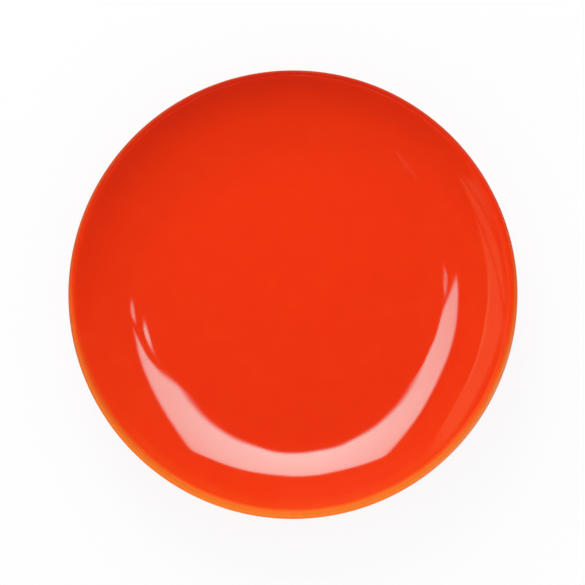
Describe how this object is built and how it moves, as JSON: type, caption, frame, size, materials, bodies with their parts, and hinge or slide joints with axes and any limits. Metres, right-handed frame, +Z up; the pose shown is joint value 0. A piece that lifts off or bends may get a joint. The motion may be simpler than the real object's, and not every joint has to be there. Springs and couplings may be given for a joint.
{
  "type": "coupe side plate",
  "caption": "Round glazed stoneware coupe plate with a shallow well, upturned wall, rounded lip and unglazed foot ring.",
  "frame": {"origin": "centre of the foot ring's standing face, on the table", "axes": "+Z up along the plate's axis of turning, out of the well; X and Y lie in the table"},
  "size_m": [0.165, 0.165, 0.0202],
  "materials": {
    "fired_clay": "bare fired stoneware, matt and slightly gritty, pale buff",
    "orange_glaze": "glossy opaque orange-red glaze that thins to yellow-orange over the lip"
  },
  "bodies": {
    "root": {"clay_body": "fired_clay", "face_glaze": "orange_glaze", "recess_glaze": "orange_glaze"}
  },
  "joints": []
}
